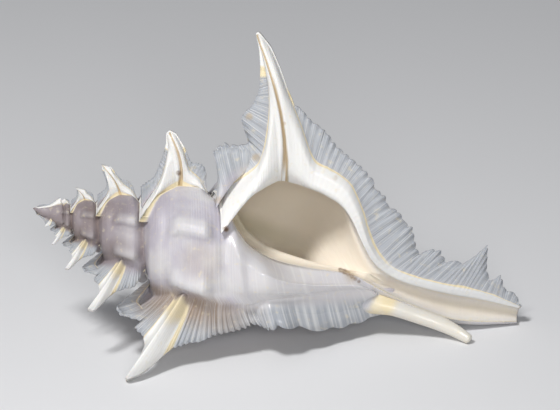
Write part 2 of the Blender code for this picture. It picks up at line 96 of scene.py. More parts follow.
CORD_EDGE = (
    (0.0, 51.5, 18.0), (0.05, 54.9, 19.0), (0.1, 55.6, 20.8), (0.16, 57.4, 22.8), (0.23, 60.2, 25.3),
    (0.31, 63.2, 29.0), (0.35, 63.9, 32.0), (0.4, 64.2, 37.0), (0.45, 63.3, 45.0), (0.49, 61.4, 52.5),
    (0.53, 56.9, 63.2), (0.55, 54.3, 68.0), (0.58, 59.4, 64.2), (0.63, 67.0, 52.8), (0.69, 72.6, 44.5),
    (0.8, 79.0, 34.2), (0.9, 84.0, 32.4), (1.0, 87.5, 31.3), (1.1, 91.5, 29.1), (1.2, 94.6, 25.2),
    (1.3, 97.2, 21.2), (1.4, 99.8, 16.2), (1.5, 102.6, 12.0), (1.6, 105.5, 9.0), (1.7, 108.7, 7.0),
    (1.85, 113.7, 5.8), (2.0, 118.5, 5.4), (2.3, 128.0, 5.3), (2.6, 138.0, 5.7), (3.0, 149.9, 3.9),
)
# The same two lines on the older lips, whose spines are shorter
OLD_FIN_EDGE = (
    (0.0, 51.5, 18.0), (0.05, 54.2, 19.6), (0.1, 50.6, 23.5), (0.16, 53.2, 26.6), (0.23, 56.2, 29.6),
    (0.31, 57.2, 34.5), (0.4, 58.2, 42.0), (0.49, 58.6, 48.2), (0.53, 57.6, 53.0), (0.55, 58.8, 55.0),
    (0.58, 62.6, 54.0), (0.63, 68.2, 48.2), (0.69, 71.2, 43.6), (0.74, 73.0, 41.4), (0.8, 77.8, 42.0),
    (0.87, 81.6, 39.6), (0.92, 82.3, 35.8), (1.0, 86.0, 30.06), (3.0, 149.8, 3.0),
)
OLD_CORD_EDGE = (
    (0.0, 51.5, 18.0), (0.05, 54.6, 19.2), (0.1, 54.8, 21.4), (0.16, 57.0, 24.0), (0.23, 59.2, 27.6),
    (0.31, 60.4, 33.0), (0.4, 60.6, 40.6), (0.49, 60.0, 47.6), (0.53, 58.4, 52.6), (0.55, 59.2, 54.4),
    (0.58, 62.4, 53.2), (0.63, 67.4, 47.4), (0.69, 70.2, 42.2), (0.74, 72.6, 38.2), (0.8, 76.0, 35.8),
    (0.87, 79.6, 33.8), (0.92, 81.8, 32.4), (1.0, 86.0, 30.06), (3.0, 149.8, 3.0),
)
RIM = (
    (0.0, 51.5, 18.0), (0.06, 55.5, 20.5), (0.12, 58.0, 21.5), (0.2, 60.5, 22.0), (0.3, 63.5, 23.3),
    (0.4, 67.0, 24.7), (0.5, 70.3, 26.0), (0.55, 72.0, 26.3), (0.65, 76.0, 26.3), (0.75, 79.0, 25.9),
    (0.9, 83.0, 25.3), (1.0, 85.5, 24.6), (1.1, 89.0, 23.4), (1.2, 92.0, 21.4), (1.3, 94.5, 18.8),
    (1.4, 97.0, 15.6), (1.5, 99.8, 11.8), (1.6, 102.8, 8.0), (1.7, 106.5, 5.4), (1.85, 112.0, 3.6),
    (2.0, 117.0, 3.0), (2.3, 127.0, 2.8), (2.6, 137.0, 3.3), (3.0, 149.4, 3.4),
)
# The hollow: its side under the wall, then its side along the columella
HOLLOW_OUTER = (
    (0.0, 57.5, 20.6), (0.1, 59.0, 22.0), (0.25, 62.0, 23.9), (0.45, 67.0, 26.0), (0.55, 70.0, 27.1),
    (0.75, 77.0, 28.3), (0.9, 82.0, 28.2), (1.0, 85.0, 27.4), (1.1, 88.0, 25.6), (1.2, 91.0, 22.7),
    (1.3, 93.7, 18.9), (1.4, 96.3, 14.8), (1.5, 99.0, 10.8), (1.6, 101.5, 7.4), (1.7, 103.5, 5.0),
    (1.77, 105.0, 3.4),
)
HOLLOW_INNER = (
    (1.0, 57.5, 20.6), (1.1, 57.8, 17.6), (1.2, 59.5, 14.8), (1.3, 62.0, 11.3), (1.4, 66.0, 7.6),
    (1.5, 73.0, 4.6), (1.6, 85.0, 3.2), (1.7, 97.0, 3.0), (1.77, 105.0, 3.4),
)
# The inner lip: the edge of the hollow on the columella, which goes on as the far edge of the canal's groove
INNER_LIP = (
    (1.0, 51.4, 17.4, 4.7), (1.1, 55.5, 14.0, 8.0), (1.2, 58.5, 10.5, 10.5), (1.3, 61.5, 7.0, 11.5),
    (1.4, 66.0, 3.4, 11.0), (1.5, 74.0, 0.9, 9.0), (1.6, 85.0, 0.9, 7.5), (1.7, 97.0, 2.0, 6.0),
    (1.77, 102.5, 0.8, 4.8), (1.85, 108.5, -1.0, 3.8), (2.0, 117.0, -3.0, 2.9), (2.3, 128.5, -4.5, 1.9),
    (2.6, 138.0, -3.6, 1.4), (3.0, 149.9, -1.0, 0.8),
)
INNER_LIP_REACH = 110.0
# How much the base swells towards the eye where the canals leave it, and over which rows and share of a turn
BASE_FULLNESS = 6.0
FULL_ROWS, FULL_TURN = (1.3, 1.5, 1.72, 1.88), (0.0, 0.1, 0.36, 0.5)
# Where the lip's inner layer fades over the whorl before, as shares of a turn, and the rows where it begins
CALLUS_TURN, CALLUS_ROWS = (0.1, 0.42), (1.02, 1.3)
# The middle of the canal, then the floor of its groove, as (row, height towards the lip's side, depth)
CANAL_LINE = (
    (1.4, 0.0, 0.0), (1.8, 1.4, -0.5), (2.0, 2.1, -1.0), (2.3, 0.2, -1.0), (2.45, -0.6, -1.0),
    (2.6, 0.1, -1.0), (2.8, 1.1, -1.0), (3.0, 1.8, -1.0),
)
GROOVE_FLOOR = (
    (1.7, 1.6, -4.0), (1.85, 1.0, -3.0), (2.0, 0.6, -2.8), (2.3, -0.6, -2.6), (2.6, 0.2, -2.2),
    (3.0, 1.6, -1.4),
)
CANAL_RADIUS = 5.2
CANAL_TURN = 240.0
CANAL_STARTS, CANAL_WHOLE = 1.42, 1.8
# The canal curves away from the eye: where along the axis that begins, where it is measured, how far it is
# there, and the power by which it grows
CURVE_FROM, CURVE_AT, CURVED_BACK, CURVE_POWER = 95.0, 150.0, 9.0, 1.6

# How deep the suture is cut in between two whorls: over the rows below it, and over the rows above the next one.
# The last whorl has no next one, and its cut begins this many degrees before it is a turn old
SUTURE_DEPTH, BELOW_SUTURE = 3.4, 0.13
ABOVE_SUTURE, UNCOVERED = (0.8, 1.0, 1.0, 1.05), 30.0
# How full the shoulder under the suture is
SHOULDER, SHOULDER_ROWS = 1.5, (0.03, 0.15, 0.22, 0.45)

# Where a varix leaves the suture it runs ahead of the rest along the growth of the whorl: (row, degrees)
SWEEP = (
    (0.0, 0.0), (0.05, 32.0), (0.1, 54.0), (0.16, 42.0), (0.23, 29.0), (0.31, 17.0), (0.4, 8.0), (0.5, 0.0),
    (3.0, 0.0),
)
SWEEP_BEHIND = 60.0

# The back of a varix: the degrees over which the wall rises to the fin, the powers by which it does, and the
# least radius that its thickness is turned around
RISE_REACH, RISE_POWER, FOOT_POWER = 16.0, 2.2, 1.3
LEAST_RADIUS = 4.0
# The fins and spines of a varix. Above the lower suture an older fin fades out over these rows
FIN_HALF_THICKNESS = 0.34
FIN_FADES = (0.82, 1.0)
SPINE_ROW, SPINE_WIDTH = 0.55, 0.075
SPINE_THICKNESS, SPINE_TAPER = 3.8, 0.6
STOUT_THICKNESS, STOUT_TAPER = 5.0, 0.7
# The older spines are worn. An older lip's spine on each turn: how far from the axis it reaches, and how far it
# leans between these distances from the axis
WORN_LIPS = ((68.4, 0.0), (55.0, 0.0), (50.0, 9.0), (43.0, 5.0), (40.0, 0.0))
LEANS = (32.0, 50.0)
# The spines between two lips end blunt, no further from the axis than this
WORN_TIP, BLUNTNESS, BLUNT_ROWS = 67.6, 3.2, 0.07
# How much further the fin of a side varix goes where it leaves the suture
SIDE_LOBE, LOBE_ROWS = (-6.0, 7.0), (0.05, 0.16, 0.28, 0.5)
# How far the front of a spine bows towards the canal, and how wide that bow is in rows
SPINE_BOW, BOW_WIDTH = 2.9, 0.06
# The fins under the base, on the older varices: (row, how far they stand out along the axis, and from it)
KEEL = (
    (1.2, 4.5, 4.8), (1.4, 6.0, 9.5), (1.5, 6.5, 10.0), (1.6, 5.5, 10.4), (1.7, 4.0, 8.0), (1.77, 2.5, 4.0),
    (1.85, 0.0, 0.8),
)
KEEL_STARTS, KEEL_WHOLE = 1.2, 1.4
# The share of the keel's reach that its cord has
KEEL_CORD = 0.3
# The cord around the aperture: across it from the fin to the rim, as (share, how proud it is)
CORD_THICKNESS = 3.3
CORD_SHAPE = ((0.0, 0.12), (0.1, 0.6), (0.25, 0.82), (0.5, 0.78), (0.75, 1.0), (0.9, 0.9), (1.0, 0.5))
# How much of its thickness the cord loses on the canal, and how many degrees ahead of the fin it lies
CANAL_THINNING, CORD_AHEAD = 0.75, 1.5
# The groove up the front of a spine, from its tip to the rim: (share, half its width in rows, its depth)
SPINE_GROOVE = (
    (0.0, 0.008, 0.3), (0.3, 0.014, 1.1), (0.6, 0.018, 1.8), (0.78, 0.026, 2.4), (0.93, 0.045, 2.2),
    (1.0, 0.05, 0.2),
)
# The teeth of a fin's edge and the ribs that run out to them, in millimetres along the edge, and how many ribs
# they are shifted by in each degree of growth
RIB_SPACING, RIB_HEIGHT, RIB_DRIFT = 2.6, 0.1, 0.37
# The depth of the deepest notch between two teeth, the share of it that the shallowest has, the share of the fin
# that a notch leaves at least, and the seed of the notches
NOTCH_DEPTH, SHALLOWEST, LEAST_FIN, NOTCH_SEED = 1.2, 0.25, 0.3, 977
# How much deeper the notches are on the keel of an older varix
KEEL_NOTCHES = 1.2
# The rows where the edge is smooth, on a spine, and where they start on the lip, whose fin runs further up
SMOOTH_EDGE_ROWS, LIP_SMOOTH_FROM = (0.46, 0.62), 0.51

# The low bumps in the gap between two varices, at these shares of it from the younger one. They are highest
# next to an older lip
BUMPS, BUMP_HEIGHT = (0.53, 0.2), 4.6
BUMP_STEEP_SIDE, BUMP_GENTLE_SIDE = 0.06, 0.16
BUMP_ROWS = (0.34, 0.5, 0.82, 1.0)
LOWER_BUMPS = 0.64

# The older canal: a stub that leaves the base beside the newer one, as (x, y, z, radius)
STUB = (
    (92.0, -2.7, -5.9, 5.2), (98.0, -3.4, -4.2, 5.2), (103.5, -4.3, -1.8, 4.4), (108.0, -4.9, 0.2, 3.3),
    (113.0, -5.1, 1.6, 2.5), (120.0, -5.8, 2.2, 2.3), (127.0, -6.6, 3.6, 2.2), (132.0, -7.7, 5.8, 1.9),
    (136.2, -9.1, 8.8, 1.45),
)
# How its worn tip closes, as shares of its radius, a short step apart, and how much its rings slant
STUB_TIP, STUB_TIP_STEP, STUB_SLANT = (1.0, 0.93, 0.75, 0.45, 0.05), 0.28, 0.25

# The shell lies on the tips of its two older spines and of its canal. Once it is turned so, this is the middle
# of its underside
FEET = ((43.1, -41.8, 20.6), (46.0, -9.2, -57.4), (149.9, -1.5, -10.7))
LAID_AT = (73.263, 5.688, -40.101)

# The first turn closes over the apex, which is here, from this row up, by this power
APEX, APEX_ROW, APEX_POWER = (0.3, 0.0, 0.0), 0.4, 0.6
# The first turn is drawn in at these rows, by this share of its width, and this many rows to each side
WAIST_ROWS, WAIST_DEPTH, WAIST_REACH = (0.24, 0.55), 0.2, 0.13

# How finely the surface is divided
RISE_COLUMNS, FRONT_COLUMNS, CORD_COLUMNS = 7, (0.0, 0.45, 0.93), 7
GAP_COLUMNS = (0.935, 0.86, 0.78, 0.7, 0.63, 0.57, 0.53, 0.51, 0.49, 0.465, 0.38, 0.3, 0.235, 0.2, 0.17)
ROW_STEPS = ((0.0, 0.43, 56), (0.43, 0.65, 34), (0.65, 1.0, 42), (1.0, 1.77, 88), (1.77, 3.0, 112))
CANAL_MOUTH = 1.77
HOLLOW_STEPS = [8, 14, 20] + [20 + 14 * k for k in range(1, 26)]
THROAT_STEPS = 7
STUB_SIDES, STUB_RINGS = 28, 60

# The steps into the hollow after which it is beige with painted shade, on each of its sides, and how beige and
# shaded the canal's groove is
DEEP_STEPS, GROOVE_DEPTH = {"outer": THROAT_STEPS + 3, "inner": 4}, 0.6
# The rings of the older canal over which its colour turns from the base's to a cord's
STUB_BARE = (14, 30)
# The steps of the grain across and along the hollow and the canals
HOLLOW_GRAIN, STUB_GRAIN = (0.04, 0.05), (0.01, 0.05)
# A material reads places on the shell in units of this many millimetres
PLACE_UNIT = 100

# The photograph: its width in pixels, millimetres to a pixel, where its middle is on the shell, how the axis
# tilts in it, and how far off the eye is
PHOTO_WIDTH = 560
PIXEL = 0.3
MIDDLE = (72.34, 17.42, 0.0)
TILT = (0.97496, 0.22239)
EYE_DISTANCE = 1500.0

# The studio: the lights, as (name, place, power, width), what they aim at, and the room's own light
LIGHTS = (("key", (-0.24, -0.36, 0.74), 4.9, 0.16), ("front", (0.16, -1.0, 0.42), 4.2, 0.3))
AIM = (0.0, 0.0, 0.04)
ROOM_COLOUR, ROOM_STRENGTH = (0.86, 0.89, 0.95, 1.0), 0.15
FLOOR_COLOUR, FLOOR_SIZE = (0.8, 0.8, 0.81, 1.0), 6.0


def curve(keys, row):
    """The point at a row on a smooth curve through the keys."""
    i = min(max(bisect_right(keys, (row, 1e9)) - 1, 0), len(keys) - 2)
    before, start, end, after = (keys[min(max(i + k, 0), len(keys) - 1)] for k in (-1, 0, 1, 2))
    span = end[0] - start[0]
    u = min(max((row - start[0]) / span, 0.0), 1.0)
    ease, out, into = u * u * (3 - 2 * u), u * (1 - u) ** 2, u * u * (u - 1)
    first, second = span / (end[0] - before[0]), span / (after[0] - start[0])
    return Vector([
        b + (c - b) * ease + (c - a) * first * out + (d - b) * second * into
        for a, b, c, d in zip(before[1:], start[1:], end[1:], after[1:])
    ])


def outline(keys, row):
    """The point at a row on straight lines through the keys, for a ragged edge."""
    i = min(max(bisect_right(keys, (row, 1e9)) - 1, 0), len(keys) - 2)
    start, end = keys[i], keys[i + 1]
    share = min(max((row - start[0]) / (end[0] - start[0]), 0.0), 1.0)
    return [a + (b - a) * share for a, b in zip(start[1:], end[1:])]


def ramp(low, high, value):
    """0 below low, 1 above high, and smooth between."""
    u = min(max((value - low) / (high - low), 0.0), 1.0)
    return u * u * (3 - 2 * u)


def band(value, start, whole, fading, end):
    """0 outside start and end, 1 from whole to fading, and smooth between."""
    return ramp(start, whole, value) * (1 - ramp(fading, end, value))


def size(angle):
    """How large the shell was at a growth angle, as a share of its size at the lip."""
    return WHORL_RATIO ** (-angle / TURN)


def canal_share(row):
    """How far a row is on its way from the whorl to the canal, from 0 to 1."""
    return ramp(CANAL_STARTS, CANAL_WHOLE, row)


def place(section, angle, row):
    """A point of a meridional section, turned to its growth angle. On the canal the turns are one tube."""
    share = canal_share(row)
    azimuth = radians(LIP_AZIMUTH + angle * (1 - share + share * CANAL_TURN / TURN))
    up, rise = curve(CANAL_LINE, row) * ramp(0.0, 120.0, angle)
    return Vector((section.x, section.y * cos(azimuth) + up, rise - section.y * sin(azimuth)))


def gap(angle):
    """The varices that bound a growth angle: the younger, and the older."""
    whole = angle // TURN * TURN
    turned = angle - whole
    younger = max(at for at in VARIX_ANGLES if at <= turned)
    older = min([at for at in VARIX_ANGLES if at > turned] + [TURN])
    return whole + younger, whole + older


def sweep(angle, row):
    """Degrees by which growth runs ahead. It is greatest at a varix, and dies away before the next one."""
    degrees = outline(SWEEP, row)[0]
    younger, older = gap(angle)
    before = 1 - ramp(0.0, SWEEP_BEHIND, angle - younger)
    after = (angle - younger) / (older - younger)
    return degrees * max(before, after)


def wall_section(angle, row):
    """The outside of the whorl, with no varix, in its meridional plane."""
    section = curve(WALL, row)
    grown = section * size(angle)
    upper = (1 - ramp(0.0, BELOW_SUTURE, row)) / WHORL_RATIO
    lower = band(row, *ABOVE_SUTURE) * ramp(TURN - UNCOVERED, TURN, angle)
    grown.y += (SHOULDER * band(row, *SHOULDER_ROWS) - SUTURE_DEPTH * (upper + lower)) * size(angle)
    share = canal_share(row)
    if share > 0:
        narrow = min(section.y, CANAL_RADIUS) if row < CANAL_WHOLE else section.y
        grown = Vector(((1 - share) * grown.x + share * section.x, (1 - share) * grown.y + share * narrow))
    return grown


def bump(angle, row):
    """The low bumps between the varices, as a share of their height, steep towards the younger one."""
    younger, older = gap(angle)
    across = (angle - younger) / (older - younger)
    along = band(row, *BUMP_ROWS) * (1.0 if older % TURN == 0 else LOWER_BUMPS)
    over = [(across - at) / (BUMP_STEEP_SIDE if across < at else BUMP_GENTLE_SIDE) for at in BUMPS]
    return along * max(1 - ramp(0.0, 1.0, abs(side)) for side in over)


def wall(angle, row):
    """A point of the outside between two varices, with its bumps."""
    ahead = angle - sweep(angle, row)
    section = wall_section(ahead, row)
    section.y += BUMP_HEIGHT * size(angle) * bump(angle, row)
    return place(section, ahead, row)


def lengths(keys):
    """Each key's length along the edge that they draw, as (row, length)."""
    total, found = 0.0, []
    for i, key in enumerate(keys):
        if i:
            total += hypot(key[1] - keys[i - 1][1], key[2] - keys[i - 1][2])
        found.append((key[0], total))
    return tuple(found)


EDGE_LENGTH = lengths(FIN_EDGE)
# The same length at the lower suture, in centimetres
SUTURE_AT = dict(EDGE_LENGTH)[1.0] / CM


def rib_phase(angle, row):
    """The ribs passed on the way down a varix's edge to a row."""
    return outline(EDGE_LENGTH, row)[0] / RIB_SPACING + angle * RIB_DRIFT


def worn(angle, row, edge):
    """A point of a varix's edge, with the lobe of the side varices and after the wear on its spine."""
    if angle % TURN == VARIX_ANGLES[-1]:
        edge = edge + Vector(SIDE_LOBE) * band(row, *LOBE_ROWS)
    if angle < TURN:
        return edge
    if angle % TURN:
        blunt = BLUNTNESS * (1 - ramp(0.0, BLUNT_ROWS, abs(row - SPINE_ROW)))
        return Vector((edge.x, min(edge.y + blunt, max(edge.y, WORN_TIP))))
    reach, lean = WORN_LIPS[int(angle // TURN)]
    return Vector((edge.x - lean * ramp(*LEANS, edge.y), min(edge.y, reach)))


def fin_edge(angle, row):
    older_lip = angle and angle % TURN == 0
    return worn(angle, row, Vector(outline(OLD_FIN_EDGE if older_lip else FIN_EDGE, row)))


def cord_edge(angle, row):
    older_lip = angle and angle % TURN == 0
    return worn(angle, row, curve(OLD_CORD_EDGE if older_lip else CORD_EDGE, row))


def spine_share(angle, row):
    """1 on the spine of a varix, which is smooth, and 0 on its fins."""
    start, end = SMOOTH_EDGE_ROWS
    if angle == 0:
        start = LIP_SMOOTH_FROM
    return band(row, start - 0.005, start, end, end + 0.04)


def notch(angle, row):
    """How far the edge of a fin is set back between two teeth, from 0 to 1."""
    ragged = 1 - spine_share(angle, row)
    phase = rib_phase(angle, row)
    chance = random.Random(int(phase) * NOTCH_SEED + int(angle * 2))
    open_to = (2 * abs(phase % 1.0 - 0.5)) ** 2.0
    return ragged * open_to * (SHALLOWEST + (1 - SHALLOWEST) * chance.random())


def fin_share(angle, row):
    """How much of its full fin an older varix keeps at a row."""
    return 1 - ramp(*FIN_FADES, row) if angle >= TURN else 1.0


def varix_section(angle, row, edges):
    """A line of a varix, such as its edge, in its meridional plane."""
    base = wall_section(angle, row)
    if angle == 0:
        reach = edges(angle, row) - base
    else:
        reach = edges(angle, row) * size(angle) - wall_section(angle, min(row, CANAL_STARTS))
        if row > KEEL_STARTS:
            keel = curve(KEEL, row) if row < KEEL[-1][0] else Vector((0.0, 0.0))
            reach = reach.lerp(keel, ramp(KEEL_STARTS, KEEL_WHOLE, row)) if row < KEEL_WHOLE else keel
            if edges is cord_edge:
                reach *= KEEL_CORD
        reach *= fin_share(angle, row)
    if edges is fin_edge and reach.length > 1e-6:
        depth = NOTCH_DEPTH * (1 + KEEL_NOTCHES * ramp(1.0, KEEL_STARTS, row) * (angle > 0))
        reach *= max(1 - depth * size(angle) * notch(angle, row) / reach.length, LEAST_FIN)
    return base + reach


def shifted(section, angle, row, ahead, height):
    """A section point turned to its angle and moved ahead by a length. The sweep fades with height."""
    turned = angle - outline(SWEEP, row)[0] * (1 - height)
    radius = max(section.y, LEAST_RADIUS * size(angle))
    return place(section, turned - ahead / radius * RADIAN, row)


def rib(angle, row, height):
    """Waves of a fin that run out to its teeth."""
    wave = cos(2 * pi * rib_phase(angle, row)) * ramp(0.1, 0.5, height)
    return RIB_HEIGHT * size(angle) * wave * (1 - spine_share(angle, row))


def spine_bulk(angle, row, height):
    """Thickness of a spine behind its fin. The spines between two lips are the stouter ones."""
    thickness, taper = (STOUT_THICKNESS, STOUT_TAPER) if angle % TURN else (SPINE_THICKNESS, SPINE_TAPER)
    return thickness * (1 - taper * height) * (1 - ramp(0.0, 1.0, abs(row - SPINE_ROW) / SPINE_WIDTH))


class Column:
    """One line of the outside from the upper suture down: where it lies at a row, and what it is part of.

    form(row) gives the height on a fin, the share of a cord, the depth inside, and the share of a spine's
    groove, which is below 0 on a bump. On the smooth inner lip the depth is below 0.
    """

    def __init__(self, angle, point, form):
        self.angle, self.point, self.form = angle, point, form


def rise_column(angle, share):
    height = share**RISE_POWER

    def point(row):
        section = wall_section(angle, row).lerp(varix_section(angle, row, fin_edge), height)
        bulk = spine_bulk(angle, row, height) * ramp(0.0, 0.3, share)
        back = (FIN_HALF_THICKNESS * ramp(0.0, 0.08, row) + bulk) * size(angle) - rib(angle, row, height)
        return shifted(section, angle + RISE_REACH * (1 - share) ** FOOT_POWER, row, -back, height)

    return Column(angle, point, lambda row: fin_form(angle, row, height))


def fin_form(angle, row, height):
    spine = spine_share(angle, row)
    return height * (1 - spine) * fin_share(angle, row), spine * ramp(0.0, 0.4, height), 0.0, 0.0


def front_column(angle, share):
    def point(row):
        section = varix_section(angle, row, fin_edge).lerp(varix_section(angle, row, cord_edge), share)
        height = 1 - share * 0.2
        ahead = FIN_HALF_THICKNESS * size(angle) + rib(angle, row, 1 - share * 0.8)
        return shifted(section, angle, row, ahead, height)

    return Column(angle, point, lambda row: fin_form(angle, row, 1 - 0.7 * share))


def cord_column(angle, share):
    def groove(row):
        half_width, depth = outline(SPINE_GROOVE, share)
        return 1 - ramp(0.3, 1.0, abs(row - SPINE_ROW) / half_width), depth

    def point(row):
        top = varix_section(angle, row, cord_edge)
        foot = curve(RIM, row) if angle == 0 else wall_section(angle, row)
        section = top.lerp(foot, share)
        on_spine = exp(-((row - SPINE_ROW) / BOW_WIDTH) ** 2)
        section.x += SPINE_BOW * 4 * share * (1 - share) * on_spine * size(angle)
        cut, depth = groove(row)
        proud = CORD_THICKNESS * outline(CORD_SHAPE, share)[0] * ramp(0.0, 0.12, row)
        proud -= cut * depth
        proud *= 1 - CANAL_THINNING * canal_share(row)
        ahead = (FIN_HALF_THICKNESS + proud) * size(angle)
        return shifted(section, angle - CORD_AHEAD, row, ahead, 0.8 * (1 - share) ** FOOT_POWER)

    def form(row):
        return 0.0, 1.0 if share < 1 or angle == 0 else 0.5, 0.0, groove(row)[0]

    return Column(angle, point, form)


def gap_column(angle):
    return Column(angle, lambda row: wall(angle, row), lambda row: (0.0, 0.0, 0.0, -bump(angle, row)))


def shell_columns():
    """Every column from the apex to the lip, and how many of them make one turn."""
    columns = []
    for turn in range(TURNS, -1, -1):
        for at in reversed(VARIX_ANGLES):
            angle = at + turn * TURN
            columns += [rise_column(angle, k / RISE_COLUMNS) for k in range(RISE_COLUMNS + 1)]
            columns += [front_column(angle, share) for share in FRONT_COLUMNS]
            columns += [cord_column(angle, k / (CORD_COLUMNS - 1)) for k in range(CORD_COLUMNS)]
            if angle == 0:
                break
            younger = [at for at in VARIX_ANGLES if at + turn * TURN < angle]
            following = max(younger) + turn * TURN if younger else VARIX_ANGLES[-1] + (turn - 1) * TURN
            columns += [gap_column(following + (angle - following) * share) for share in GAP_COLUMNS]
    per_turn = 3 * (RISE_COLUMNS + 1 + len(FRONT_COLUMNS) + CORD_COLUMNS + len(GAP_COLUMNS))
    return columns, per_turn


def over_apex(point, row):
    """A point of the first turn, drawn in to the apex at the top."""
    share = min(row / APEX_ROW, 1.0)
    apex = Vector(APEX)
    waist = max(1 - ramp(0.0, WAIST_REACH, abs(row - at)) for at in WAIST_ROWS)
    wide = share**APEX_POWER * (1 - WAIST_DEPTH * waist)
    return Vector((apex.x + (point.x - apex.x) * share, point.y * wide, point.z * wide))


def curved_back(point):
    """A point after the canal's curve away from the eye."""
    along = max(point.x - CURVE_FROM, 0.0) / (CURVE_AT - CURVE_FROM)
    return point - Vector((0.0, 0.0, CURVED_BACK * along**CURVE_POWER))


def bent_grid(across, along, point, form, growth):
    """A grid bent so that each crossing lies at point(i, j). It keeps what each place is part of.

    The form is a colour, the place on the shell's own axes a vector, and the growth a UV of turns and length.
    """
    mesh = bmesh.new()
    bmesh.ops.create_grid(mesh, x_segments=across, y_segments=along, size=1.0)
    forms = mesh.verts.layers.float_color.new("form")
    places = mesh.verts.layers.float_vector.new("place")
    uv = mesh.loops.layers.uv.new("growth")
    at = {}
    for vertex in mesh.verts:
        i = round((vertex.co.x + 1) / 2 * across)
        j = round((vertex.co.y + 1) / 2 * along)
        at[vertex] = growth(i, j)
        vertex[forms] = form(i, j)
        vertex[places] = point(i, j) / PLACE_UNIT
        vertex.co = curved_back(point(i, j)) * MM
    for face in mesh.faces:
        for loop in face.loops:
            loop[uv].uv = at[loop.vert]
    return mesh


def joined(meshes, weld):
    """The meshes in one, their shared borders welded, with the faces turned outwards."""
    whole = bmesh.new()
    for mesh in meshes:
        part = bpy.data.meshes.new("part")
        mesh.to_mesh(part)
        mesh.free()
        whole.from_mesh(part)
        bpy.data.meshes.remove(part)
    bmesh.ops.remove_doubles(whole, verts=whole.verts, dist=weld)
    bmesh.ops.dissolve_degenerate(whole, dist=weld, edges=whole.edges)
    bmesh.ops.holes_fill(whole, edges=[e for e in whole.edges if e.is_boundary], sides=0)
    bmesh.ops.triangulate(whole, faces=whole.faces)
    bmesh.ops.recalc_face_normals(whole, faces=whole.faces)
    return whole


def all_rows():
    rows = [low + (high - low) * k / steps for low, high, steps in ROW_STEPS for k in range(steps)]
    return rows + [ROW_STEPS[-1][1]]


def shell_mesh():
    rows = all_rows()
    lower = sum(steps for low, high, steps in ROW_STEPS if high <= 1.0)
    canal = sum(steps for low, high, steps in ROW_STEPS if high <= CANAL_MOUTH)
    columns, per_turn = shell_columns()
    last = len(columns) - 1
    first_base = last - per_turn
    points = {}

    def outside(i, j):
        if (i, j) not in points:
            points[i, j] = columns[i].point(rows[j])
        return points[i, j]

    def upper(i, j):
        # The upper suture of a whorl is the lower suture of the one before. The first turn has the apex there
        if i >= per_turn:
            return outside(i - per_turn, lower) if j == 0 else outside(i, j)
        return over_apex(outside(i, j), rows[j])

    def base(i, j):
        """The base of the last whorl and the canal. Next to the hollow it bends over to the inner lip."""
        row, turned = rows[lower + j], i / per_turn
        near = (1 - ramp(0.0, INNER_LIP_REACH, turned * TURN)) * ramp(1.0, 1.15 + turned, row)
        full = band(turned, *FULL_TURN) * band(row, *FULL_ROWS)
        bent = (curve(INNER_LIP, row) - outside(first_base, lower + j)) * near
        return outside(first_base + i, lower + j) + bent + Vector((0.0, 0.0, BASE_FULLNESS * full))

    loop = [("outer", j) for j in range(canal, -1, -1)] + [("inner", j) for j in range(lower + 1, canal + 1)]

    def border(side, j):
        return upper(last, j) if side == "outer" else base(0, j - lower)

    def floor_of_groove(row):
        up, rise = curve(GROOVE_FLOOR, row)
        return Vector((curve(RIM, row).x, up, rise))

    def hollow(side, j, angle):
        section = curve(HOLLOW_OUTER if side == "outer" else HOLLOW_INNER, rows[j]) * size(angle)
        azimuth = radians(LIP_AZIMUTH + angle)
        return Vector((section.x, section.y * cos(azimuth), -section.y * sin(azimuth)))

    def dip(start, end, share):
        """From a border down into the hollow: first straight in, then across."""
        turn = radians(90 * share)
        across, down = 1 - cos(turn), sin(turn)
        return Vector((
            start.x + (end.x - start.x) * across,
            start.y + (end.y - start.y) * across,
            start.z + (end.z - start.z) * down,
        ))

    def inside(m, k):
        side, j = loop[m]
        if k > THROAT_STEPS:
            return hollow(side, j, HOLLOW_STEPS[k - THROAT_STEPS])
        end = floor_of_groove(rows[j]) if j == canal else hollow(side, j, HOLLOW_STEPS[0])
        return dip(border(side, j), end, k / THROAT_STEPS)

    def groove(k, j):
        side = "outer" if k <= THROAT_STEPS else "inner"
        share = 1 - abs(k - THROAT_STEPS) / THROAT_STEPS
        return dip(border(side, canal + j), floor_of_groove(rows[canal + j]), share)

    def growth(column, row):
        return column.angle / TURN, outline(EDGE_LENGTH, row)[0] / CM

    def callus(i, j):
        """Form on the base, where the inner lip spreads a smooth layer over the whorl before."""
        row, turned = rows[lower + j], i / per_turn
        fin, cord, deep, cut = columns[first_base + i].form(row)
        smooth = (1 - ramp(*CALLUS_TURN, turned)) * ramp(*CALLUS_ROWS, row)
        return fin, cord * ramp(0.15, 0.4, turned), -smooth, cut

    def hollow_form(m, k):
        """Form in the hollow, white at its border and beige with painted shade inside, sooner so on the
        columella.
        """
        deep = ramp(0, DEEP_STEPS[loop[m][0]], k)
        return 0.0, 1.0 - deep, deep, 0.0

    def groove_form(k, j):
        """Form in the canal's groove, white at its two borders."""
        border_share = abs(k - THROAT_STEPS) / THROAT_STEPS
        return 0.0, border_share, GROOVE_DEPTH * (1.0 - border_share), 0.0

    across, along = HOLLOW_GRAIN
    grids = [
        bent_grid(last, lower, upper, lambda i, j: columns[i].form(rows[j]),
                  lambda i, j: growth(columns[i], rows[j])),
        bent_grid(per_turn, len(rows) - 1 - lower, base, callus,
                  lambda i, j: growth(columns[first_base + i], rows[lower + j])),
        bent_grid(len(loop) - 1, THROAT_STEPS + len(HOLLOW_STEPS) - 1, inside, hollow_form,
                  lambda m, k: (k * across, m * along)),
        bent_grid(2 * THROAT_STEPS, len(rows) - 1 - canal, groove, groove_form,
                  lambda k, j: (k * across, j * along)),
    ]
    return joined(grids, weld=2e-6)


